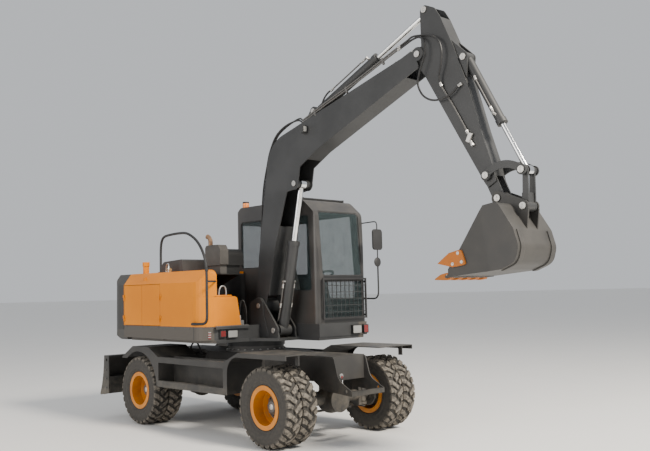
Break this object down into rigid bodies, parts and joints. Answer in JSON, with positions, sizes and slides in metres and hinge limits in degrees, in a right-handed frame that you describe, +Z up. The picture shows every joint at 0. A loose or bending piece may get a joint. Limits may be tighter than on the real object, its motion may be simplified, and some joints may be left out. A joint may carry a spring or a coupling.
{
  "type": "wheeled excavator",
  "caption": "Wheeled excavator with twin tyres, slewing upper body with cab, bent boom, stick, backhoe bucket and rear dozer blade.",
  "frame": {"origin": "on the ground under the middle of the machine's overall box, as it stands with its arm forward", "axes": "+X forward to the boom's end, +Y to the machine's left, +Z up"},
  "size_m": [6.7537, 2.1943, 4.8354],
  "materials": {
    "dark": "satin charcoal paint",
    "black": "black paint",
    "steel": "machined",
    "hub": "black paint",
    "rim": "orange paint",
    "tyre": "matt rubber",
    "rod": "polished",
    "amber": "amber paint",
    "orange": "orange paint",
    "engine": "cast",
    "glass": "clear",
    "cabin": "grained",
    "lamp": "clear and coloured lenses"
  },
  "bodies": {
    "chassis": {"chassis": "dark", "fenders": "dark", "slew_ring": "steel", "front_axle": "dark", "rear_axle": "dark", "drive_line": "black"},
    "upper": {"platform": "dark", "counterweight": "dark", "hood": "amber", "engine_block": "engine", "exhaust": "engine", "filter_box": "dark", "fuel_tank": "amber", "handrail": "black", "cab_shell": "dark", "cab_glass": "glass", "cab_inside": "cabin", "cab_guards": "black", "mirrors": "black", "lamps": "lamp"},
    "blade": {"blade": "dark"},
    "blade_barrel": {"blade_barrels": "dark"},
    "blade_rod": {"blade_rods": "rod"},
    "knuckle_left": {"knuckle_left": "dark"},
    "knuckle_right": {"knuckle_right": "dark"},
    "tie_rod": {"tie_rod": "steel"},
    "wheel_front_left": {"hub_front_left": "hub", "rims_front_left": "rim", "tyres_front_left": "tyre"},
    "wheel_front_right": {"hub_front_right": "hub", "rims_front_right": "rim", "tyres_front_right": "tyre"},
    "wheel_rear_left": {"hub_rear_left": "hub", "rims_rear_left": "rim", "tyres_rear_left": "tyre"},
    "wheel_rear_right": {"hub_rear_right": "hub", "rims_rear_right": "rim", "tyres_rear_right": "tyre"},
    "cab_door": {"cab_door": "dark", "door_glass": "glass"},
    "hood_door_rear": {"hood_door_rear": "amber"},
    "hood_door_mid": {"hood_door_mid": "amber"},
    "hood_door_left": {"hood_door_left": "amber"},
    "engine_lid": {"engine_lid": "dark"},
    "boom": {"boom": "dark"},
    "ram_barrel": {"ram_barrel": "dark"},
    "ram_rod": {"ram_rod": "rod"},
    "arm_barrel": {"arm_barrel": "dark"},
    "arm_rod": {"arm_rod": "rod"},
    "stick": {"stick": "dark"},
    "dip_barrel": {"dip_barrel": "dark"},
    "dip_rod": {"dip_rod": "rod"},
    "idler": {"idler": "dark"},
    "bucket_link": {"bucket_link": "dark"},
    "bucket": {"bucket": "dark", "bucket_teeth": "orange"}
  },
  "joints": [
    {"name": "slew", "type": "hinge", "parent": "chassis", "child": "upper", "pos_m": [-1.01, 0, 1.059], "axis": [0, 0, 1], "continuous": true},
    {"name": "steer_left", "type": "hinge", "parent": "chassis", "child": "knuckle_left", "pos_m": [0.43, 0.54, 0.46], "axis": [0, 0, 1], "range_deg": [-30, 30]},
    {"name": "steer_right", "type": "hinge", "parent": "chassis", "child": "knuckle_right", "pos_m": [0.43, -0.54, 0.46], "axis": [0, 0, 1], "range_deg": [-30, 30]},
    {"name": "tie_rod_slide", "type": "slide", "parent": "chassis", "child": "tie_rod", "axis": [0, 1, 0], "range_m": [-0.1, 0.1]},
    {"name": "wheel_front_left_spin", "type": "hinge", "parent": "knuckle_left", "child": "wheel_front_left", "pos_m": [0.43, 0.8325, 0.46], "axis": [0, 1, 0], "continuous": true},
    {"name": "wheel_rear_left_spin", "type": "hinge", "parent": "chassis", "child": "wheel_rear_left", "pos_m": [-2.29, 0.8325, 0.46], "axis": [0, 1, 0], "continuous": true},
    {"name": "wheel_front_right_spin", "type": "hinge", "parent": "knuckle_right", "child": "wheel_front_right", "pos_m": [0.43, -0.8325, 0.46], "axis": [0, 1, 0], "continuous": true},
    {"name": "wheel_rear_right_spin", "type": "hinge", "parent": "chassis", "child": "wheel_rear_right", "pos_m": [-2.29, -0.8325, 0.46], "axis": [0, 1, 0], "continuous": true},
    {"name": "blade_lift", "type": "hinge", "parent": "chassis", "child": "blade", "pos_m": [-2.57, 0, 0.56], "axis": [0, 1, 0], "range_deg": [-38, 5]},
    {"name": "blade_barrel_swing", "type": "hinge", "parent": "chassis", "child": "blade_barrel", "pos_m": [-2.71, 0, 0.895], "axis": [0, 1, 0], "range_deg": [-29, 4]},
    {"name": "blade_rod_slide", "type": "slide", "parent": "blade_barrel", "child": "blade_rod", "axis": [-0.8437, 0, -0.5369], "range_m": [-0.032, 0.225]},
    {"name": "boom_lift", "type": "hinge", "parent": "upper", "child": "boom", "pos_m": [-0.74, 0, 1.58], "axis": [0, -1, 0], "range_deg": [-85, 16]},
    {"name": "ram_barrel_swing", "type": "hinge", "parent": "upper", "child": "ram_barrel", "pos_m": [-0.442, 0, 1.262], "axis": [0, -1, 0], "range_deg": [-84.5, 16]},
    {"name": "ram_rod_slide", "type": "slide", "parent": "ram_barrel", "child": "ram_rod", "axis": [0.2176, 0, 0.976], "range_m": [-0.598, 0.115]},
    {"name": "stick_swing", "type": "hinge", "parent": "boom", "child": "stick", "pos_m": [2.05882, 0, 4.30173], "axis": [0, 1, 0], "range_deg": [-75, 50]},
    {"name": "arm_barrel_swing", "type": "hinge", "parent": "boom", "child": "arm_barrel", "pos_m": [0.3197, 0, 3.99018], "axis": [0, 1, 0], "range_deg": [-6.8, 4.6]},
    {"name": "arm_rod_slide", "type": "slide", "parent": "arm_barrel", "child": "arm_rod", "axis": [0.9177, 0, 0.3973], "range_m": [-0.542, 0.362]},
    {"name": "bucket_curl", "type": "hinge", "parent": "stick", "child": "bucket", "pos_m": [3.00575, 0, 2.62804], "axis": [0, 1, 0], "range_deg": [-85, 65]},
    {"name": "idler_swing", "type": "hinge", "parent": "stick", "child": "idler", "pos_m": [2.88733, 0, 2.86781], "axis": [0, 1, 0], "range_deg": [-53, 40.6]},
    {"name": "link_swing", "type": "hinge", "parent": "bucket", "child": "bucket_link", "pos_m": [3.29275, 0, 2.52604], "axis": [0, 1, 0], "range_deg": [-53.8, 70.3]},
    {"name": "dip_barrel_swing", "type": "hinge", "parent": "stick", "child": "dip_barrel", "pos_m": [2.63357, 0, 4.14894], "axis": [0, 1, 0], "range_deg": [-6.5, 5]},
    {"name": "dip_rod_slide", "type": "slide", "parent": "dip_barrel", "child": "dip_rod", "axis": [0.4651, 0, -0.8853], "range_m": [-0.352, 0.27]},
    {"name": "cab_door_swing", "type": "hinge", "parent": "upper", "child": "cab_door", "pos_m": [-0.992, 1.058, 2.1], "axis": [0, 0, 1], "range_deg": [0, 160]},
    {"name": "hood_door_rear_swing", "type": "hinge", "parent": "upper", "child": "hood_door_rear", "pos_m": [-2.69925, -1.038, 1.62], "axis": [0, 0, -1], "range_deg": [0, 110]},
    {"name": "hood_door_mid_swing", "type": "hinge", "parent": "upper", "child": "hood_door_mid", "pos_m": [-1.74975, -1.038, 1.62], "axis": [0, 0, 1], "range_deg": [0, 110]},
    {"name": "hood_door_left_swing", "type": "hinge", "parent": "upper", "child": "hood_door_left", "pos_m": [-2.65625, 1.038, 1.62], "axis": [0, 0, 1], "range_deg": [0, 110]},
    {"name": "engine_lid_lift", "type": "hinge", "parent": "upper", "child": "engine_lid", "pos_m": [-2.439, 0, 2.071], "axis": [0, -1, 0], "range_deg": [0, 60]}
  ],
  "couplings": [
    {"joint": "steer_right", "follows": "steer_left", "ratio": 1},
    {"joint": "tie_rod_slide", "follows": "steer_left", "m_per_rad": -0.18144},
    {"joint": "blade_barrel_swing", "follows": "blade_lift", "ratio": 0.7605},
    {"joint": "blade_rod_slide", "follows": "blade_lift", "m_per_rad": -0.335},
    {"joint": "ram_barrel_swing", "follows": "boom_lift", "ratio": 0.9926},
    {"joint": "ram_rod_slide", "follows": "boom_lift", "m_per_rad": 0.4012},
    {"joint": "arm_barrel_swing", "follows": "stick_swing", "ratio": 0.089},
    {"joint": "arm_rod_slide", "follows": "stick_swing", "m_per_rad": 0.4122},
    {"joint": "idler_swing", "follows": "bucket_curl", "ratio": 0.6221},
    {"joint": "link_swing", "follows": "bucket_curl", "ratio": -0.8253},
    {"joint": "dip_barrel_swing", "follows": "bucket_curl", "ratio": 0.0742},
    {"joint": "dip_rod_slide", "follows": "bucket_curl", "m_per_rad": 0.2355}
  ]
}
